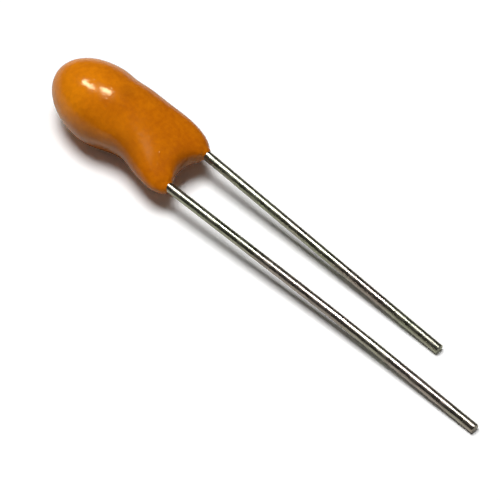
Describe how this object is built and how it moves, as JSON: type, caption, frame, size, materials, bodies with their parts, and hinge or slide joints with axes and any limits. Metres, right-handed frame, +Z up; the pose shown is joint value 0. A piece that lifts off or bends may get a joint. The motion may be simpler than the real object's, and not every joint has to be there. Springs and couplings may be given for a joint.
{
  "type": "tantalum capacitor",
  "caption": "Dipped tantalum bead capacitor: an orange resin bulb with two unequal straight wire leads, lying on its side.",
  "frame": {"origin": "on the bench, under the middle of the length from the bulb's round end to the long lead's tip, midway between the leads", "axes": "+X from the bulb towards the lead tips, +Y towards the short lead, +Z up from the bench"},
  "size_m": [0.028, 0.0043, 0.0041],
  "materials": {
    "resin": "glossy orange dipped epoxy",
    "tinned_wire": "satin tin plate",
    "sintered_tantalum": "matt porous metal",
    "tantalum_wire": "drawn grey wire",
    "fluoropolymer": "white, waxy",
    "manganese_dioxide": "matt black",
    "graphite": "dark grey, slightly shiny",
    "silver_paint": "silver conductive paint",
    "solder": "bright solder"
  },
  "bodies": {
    "root": {"resin_coat": "resin", "positive_lead": "tinned_wire", "negative_lead": "tinned_wire", "anode_pellet": "sintered_tantalum", "riser_wire": "tantalum_wire", "insulating_washer": "fluoropolymer", "manganese_dioxide_layer": "manganese_dioxide", "graphite_layer": "graphite", "silver_layer": "silver_paint", "solder_joint": "solder"}
  },
  "joints": []
}
